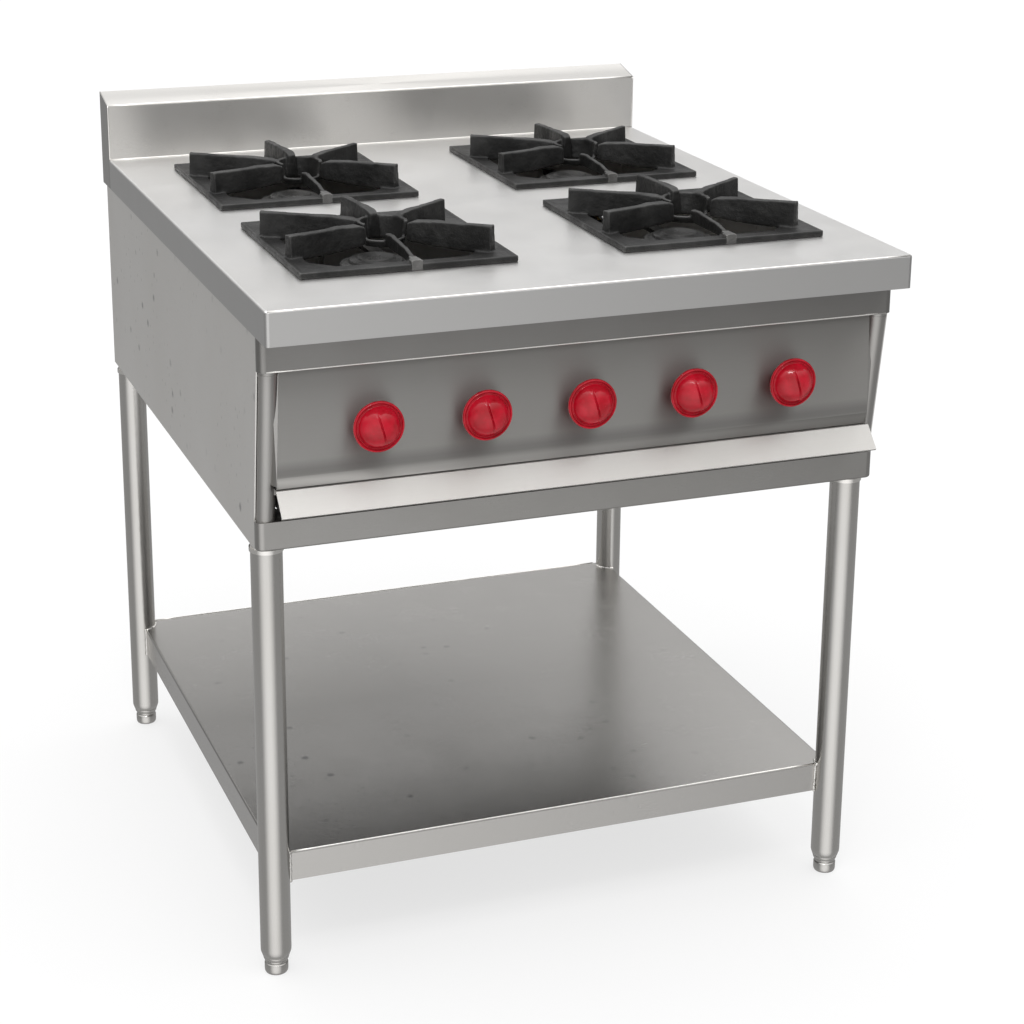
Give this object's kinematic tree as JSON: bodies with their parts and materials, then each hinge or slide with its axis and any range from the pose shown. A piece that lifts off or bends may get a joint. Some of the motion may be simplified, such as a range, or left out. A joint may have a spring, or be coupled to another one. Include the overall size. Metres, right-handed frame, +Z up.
{
  "type": "commercial gas range",
  "caption": "Free-standing commercial gas range: brushed stainless worktop with backsplash, cast-iron grates, front knobs, slide-out drip tray, tubular legs and undershelf.",
  "frame": {"origin": "on the floor, under the middle of the range", "axes": "+Z up, the control panel faces -Y, +X to the right of a person facing the range"},
  "size_m": [0.8, 0.9, 0.959],
  "materials": {
    "sheet_stainless": "satin brushed stainless sheet",
    "tube_stainless": "satin stainless tube",
    "zinc_steel": "plain zinc-coated steel",
    "pipe_steel": "black steel gas pipe",
    "grate_iron": "black cast iron, dull",
    "burner_iron": "black cast iron, fine grained",
    "knob_red": "glossy deep red",
    "brass": "turned brass",
    "tube_aluminium": "drawn tube"
  },
  "bodies": {
    "cabinet": {"worktop": "sheet_stainless", "backsplash": "sheet_stainless", "cabinet_side_left": "sheet_stainless", "cabinet_side_right": "sheet_stainless", "cabinet_back": "sheet_stainless", "upper_front_rail": "sheet_stainless", "lower_front_rail": "sheet_stainless", "lower_rear_rail": "zinc_steel", "corner_tubes": "tube_stainless", "control_panel": "sheet_stainless", "leg_front_left": "tube_stainless", "leg_front_right": "tube_stainless", "leg_rear_left": "tube_stainless", "leg_rear_right": "tube_stainless", "leg_collars": "tube_stainless", "leg_sockets": "zinc_steel", "leg_end_plugs": "tube_stainless", "undershelf": "sheet_stainless", "undershelf_stiffener": "sheet_stainless", "tray_runners": "zinc_steel", "burner_support_rails": "zinc_steel", "burner_body_front_left": "burner_iron", "burner_body_front_right": "burner_iron", "burner_body_rear_left": "burner_iron", "burner_body_rear_right": "burner_iron", "gas_manifold": "pipe_steel", "gas_valves": "brass", "gas_inlet_pipe": "pipe_steel", "manifold_brackets": "zinc_steel", "feed_tubes": "tube_aluminium", "injectors": "brass", "pilot_tube": "tube_aluminium", "fasteners": "zinc_steel"},
    "drip_tray": {"drip_tray": "sheet_stainless"},
    "control_1": {"knob_1": "knob_red", "valve_stem_1": "brass"},
    "control_2": {"knob_2": "knob_red", "valve_stem_2": "brass"},
    "control_3": {"knob_3": "knob_red", "valve_stem_3": "brass"},
    "control_4": {"knob_4": "knob_red", "valve_stem_4": "brass"},
    "control_5": {"knob_5": "knob_red", "valve_stem_5": "brass"},
    "grate_front_left": {"grate_front_left": "grate_iron"},
    "burner_cap_front_left": {"burner_cap_front_left": "burner_iron"},
    "air_shutter_front_left": {"air_shutter_front_left": "zinc_steel"},
    "grate_front_right": {"grate_front_right": "grate_iron"},
    "burner_cap_front_right": {"burner_cap_front_right": "burner_iron"},
    "air_shutter_front_right": {"air_shutter_front_right": "zinc_steel"},
    "grate_rear_left": {"grate_rear_left": "grate_iron"},
    "burner_cap_rear_left": {"burner_cap_rear_left": "burner_iron"},
    "air_shutter_rear_left": {"air_shutter_rear_left": "zinc_steel"},
    "grate_rear_right": {"grate_rear_right": "grate_iron"},
    "burner_cap_rear_right": {"burner_cap_rear_right": "burner_iron"},
    "air_shutter_rear_right": {"air_shutter_rear_right": "zinc_steel"},
    "foot_front_left": {"foot_front_left": "tube_stainless"},
    "foot_front_right": {"foot_front_right": "tube_stainless"},
    "foot_rear_left": {"foot_rear_left": "tube_stainless"},
    "foot_rear_right": {"foot_rear_right": "tube_stainless"}
  },
  "joints": [
    {"name": "drip_tray_slide", "type": "slide", "parent": "cabinet", "child": "drip_tray", "axis": [0, -1, 0], "range_m": [0, 0.55]},
    {"name": "knob_1_turn", "type": "hinge", "parent": "cabinet", "child": "control_1", "pos_m": [-0.262, -0.42, 0.715], "axis": [0, -1, 0], "range_deg": [0, 180]},
    {"name": "knob_2_turn", "type": "hinge", "parent": "cabinet", "child": "control_2", "pos_m": [-0.131, -0.42, 0.715], "axis": [0, -1, 0], "range_deg": [0, 180]},
    {"name": "knob_3_turn", "type": "hinge", "parent": "cabinet", "child": "control_3", "pos_m": [0, -0.42, 0.715], "axis": [0, -1, 0], "range_deg": [0, 180]},
    {"name": "knob_4_turn", "type": "hinge", "parent": "cabinet", "child": "control_4", "pos_m": [0.131, -0.42, 0.715], "axis": [0, -1, 0], "range_deg": [0, 180]},
    {"name": "knob_5_turn", "type": "hinge", "parent": "cabinet", "child": "control_5", "pos_m": [0.262, -0.42, 0.715], "axis": [0, -1, 0], "range_deg": [0, 180]},
    {"name": "grate_front_left_lift", "type": "slide", "parent": "cabinet", "child": "grate_front_left", "axis": [0, 0, 1], "range_m": [0, 0.12]},
    {"name": "burner_cap_front_left_lift", "type": "slide", "parent": "cabinet", "child": "burner_cap_front_left", "axis": [0, 0, 1], "range_m": [0, 0.012]},
    {"name": "air_shutter_front_left_turn", "type": "hinge", "parent": "cabinet", "child": "air_shutter_front_left", "pos_m": [-0.194, -0.285, 0.82], "axis": [0, 1, 0], "range_deg": [0, 60]},
    {"name": "grate_front_right_lift", "type": "slide", "parent": "cabinet", "child": "grate_front_right", "axis": [0, 0, 1], "range_m": [0, 0.12]},
    {"name": "burner_cap_front_right_lift", "type": "slide", "parent": "cabinet", "child": "burner_cap_front_right", "axis": [0, 0, 1], "range_m": [0, 0.012]},
    {"name": "air_shutter_front_right_turn", "type": "hinge", "parent": "cabinet", "child": "air_shutter_front_right", "pos_m": [0.208, -0.285, 0.82], "axis": [0, 1, 0], "range_deg": [0, 60]},
    {"name": "grate_rear_left_lift", "type": "slide", "parent": "cabinet", "child": "grate_rear_left", "axis": [0, 0, 1], "range_m": [0, 0.12]},
    {"name": "burner_cap_rear_left_lift", "type": "slide", "parent": "cabinet", "child": "burner_cap_rear_left", "axis": [0, 0, 1], "range_m": [0, 0.012]},
    {"name": "air_shutter_rear_left_turn", "type": "hinge", "parent": "cabinet", "child": "air_shutter_rear_left", "pos_m": [-0.194, 0.086, 0.82], "axis": [0, 1, 0], "range_deg": [0, 60]},
    {"name": "grate_rear_right_lift", "type": "slide", "parent": "cabinet", "child": "grate_rear_right", "axis": [0, 0, 1], "range_m": [0, 0.12]},
    {"name": "burner_cap_rear_right_lift", "type": "slide", "parent": "cabinet", "child": "burner_cap_rear_right", "axis": [0, 0, 1], "range_m": [0, 0.012]},
    {"name": "air_shutter_rear_right_turn", "type": "hinge", "parent": "cabinet", "child": "air_shutter_rear_right", "pos_m": [0.208, 0.086, 0.82], "axis": [0, 1, 0], "range_deg": [0, 60]},
    {"name": "foot_front_left_height", "type": "slide", "parent": "cabinet", "child": "foot_front_left", "axis": [0, 0, -1], "range_m": [0, 0.02]},
    {"name": "foot_front_right_height", "type": "slide", "parent": "cabinet", "child": "foot_front_right", "axis": [0, 0, -1], "range_m": [0, 0.02]},
    {"name": "foot_rear_left_height", "type": "slide", "parent": "cabinet", "child": "foot_rear_left", "axis": [0, 0, -1], "range_m": [0, 0.02]},
    {"name": "foot_rear_right_height", "type": "slide", "parent": "cabinet", "child": "foot_rear_right", "axis": [0, 0, -1], "range_m": [0, 0.02]}
  ]
}
